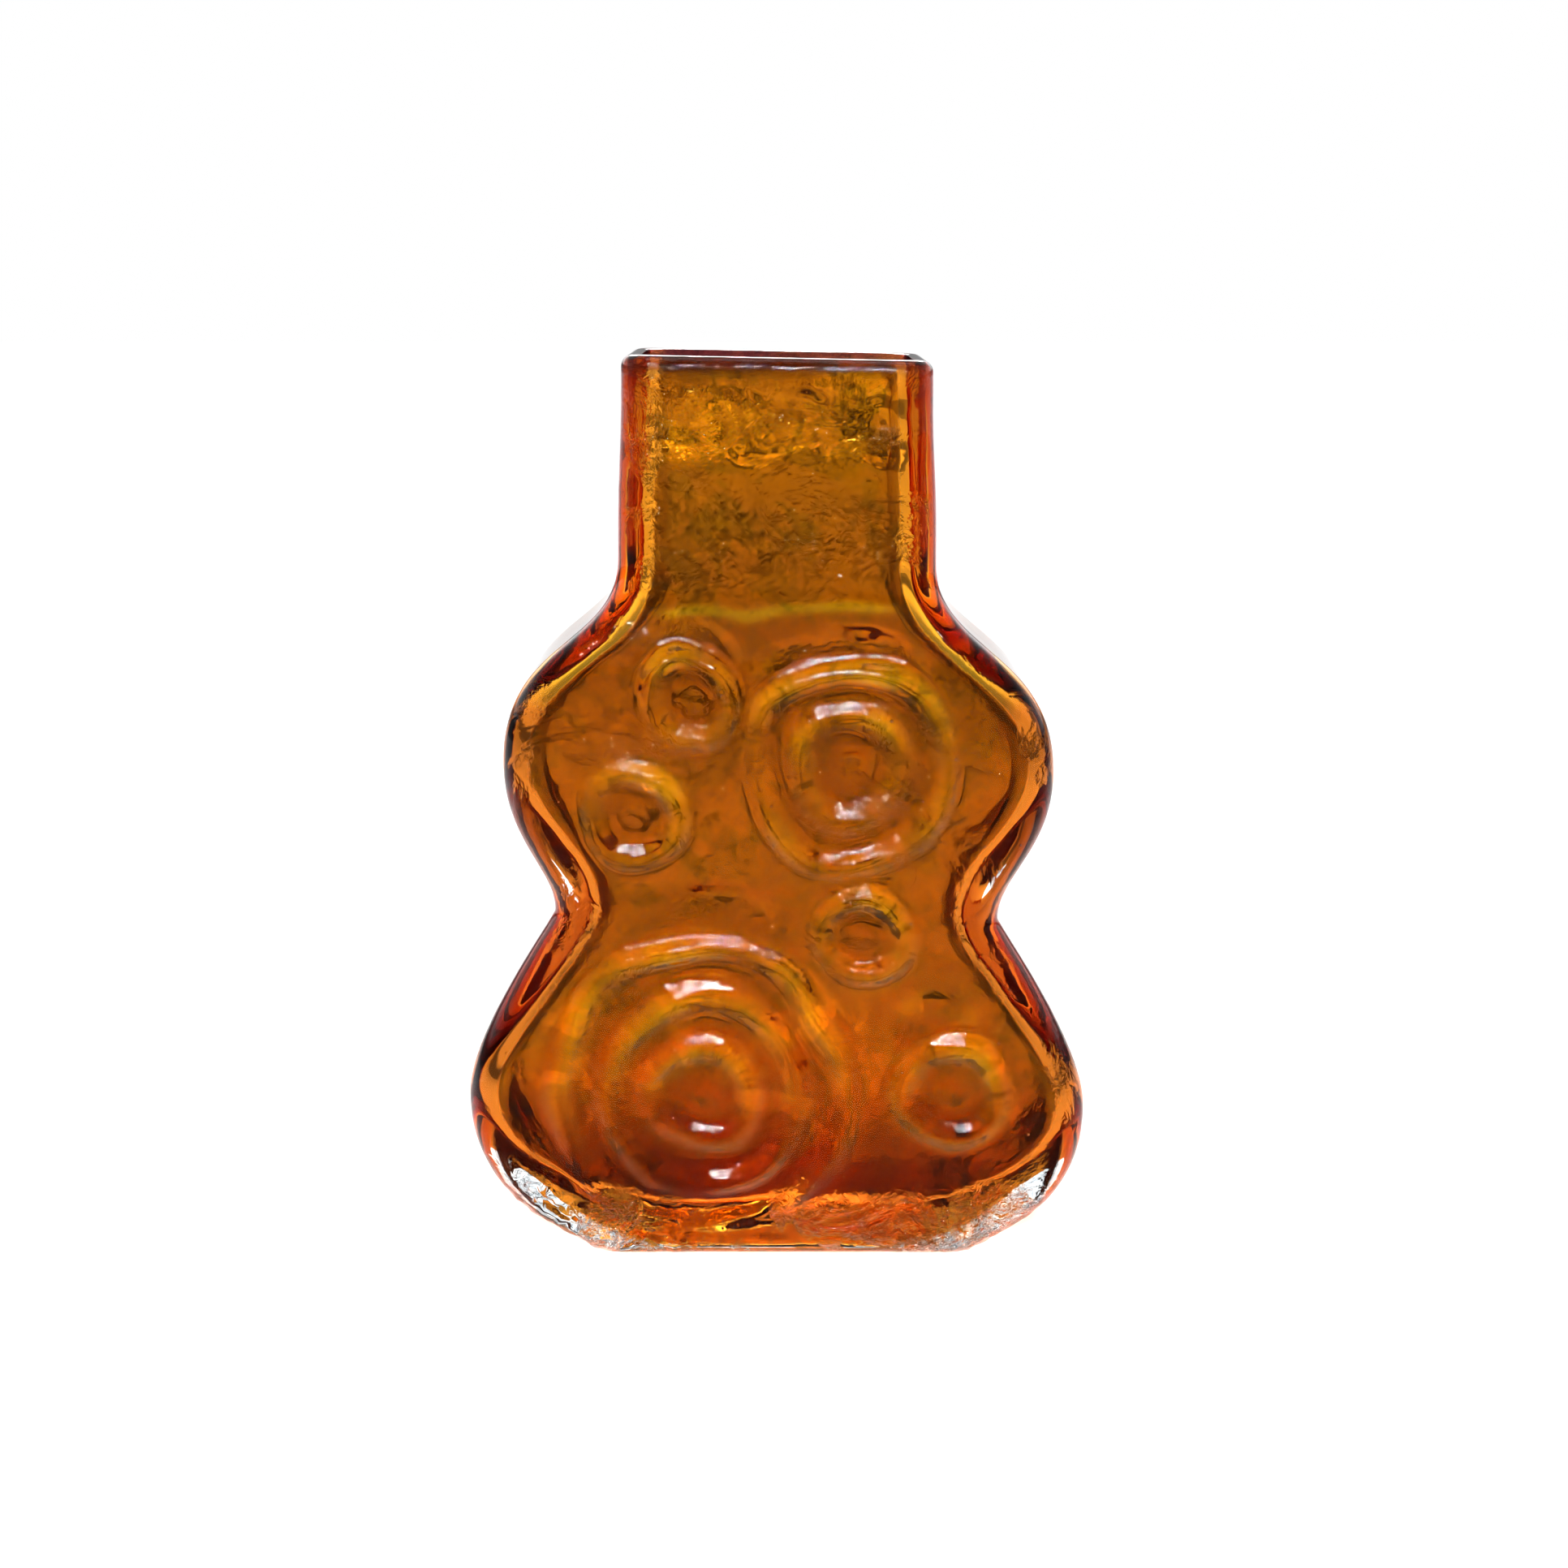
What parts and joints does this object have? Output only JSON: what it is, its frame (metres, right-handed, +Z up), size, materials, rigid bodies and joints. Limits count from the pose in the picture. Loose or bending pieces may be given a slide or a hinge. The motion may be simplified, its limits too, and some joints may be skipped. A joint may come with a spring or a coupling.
{
  "type": "glass vase",
  "caption": "Flat mould-blown vase of cased glass: a square neck over two stacked lobes with a nipped waist, orange inside a clear casing with raised ripple rings.",
  "frame": {"origin": "middle of the rest face, under the centre of the body", "axes": "+Z up towards the rim, +X towards the right side seen from the front, -Y out of the front face"},
  "size_m": [0.1238, 0.0552, 0.1806],
  "materials": {
    "clear_glass": "fire-polished, glossy",
    "orange_glass": "fire-polished, glossy"
  },
  "bodies": {
    "root": {"clear_casing": "clear_glass", "coloured_lining": "orange_glass"}
  },
  "joints": []
}
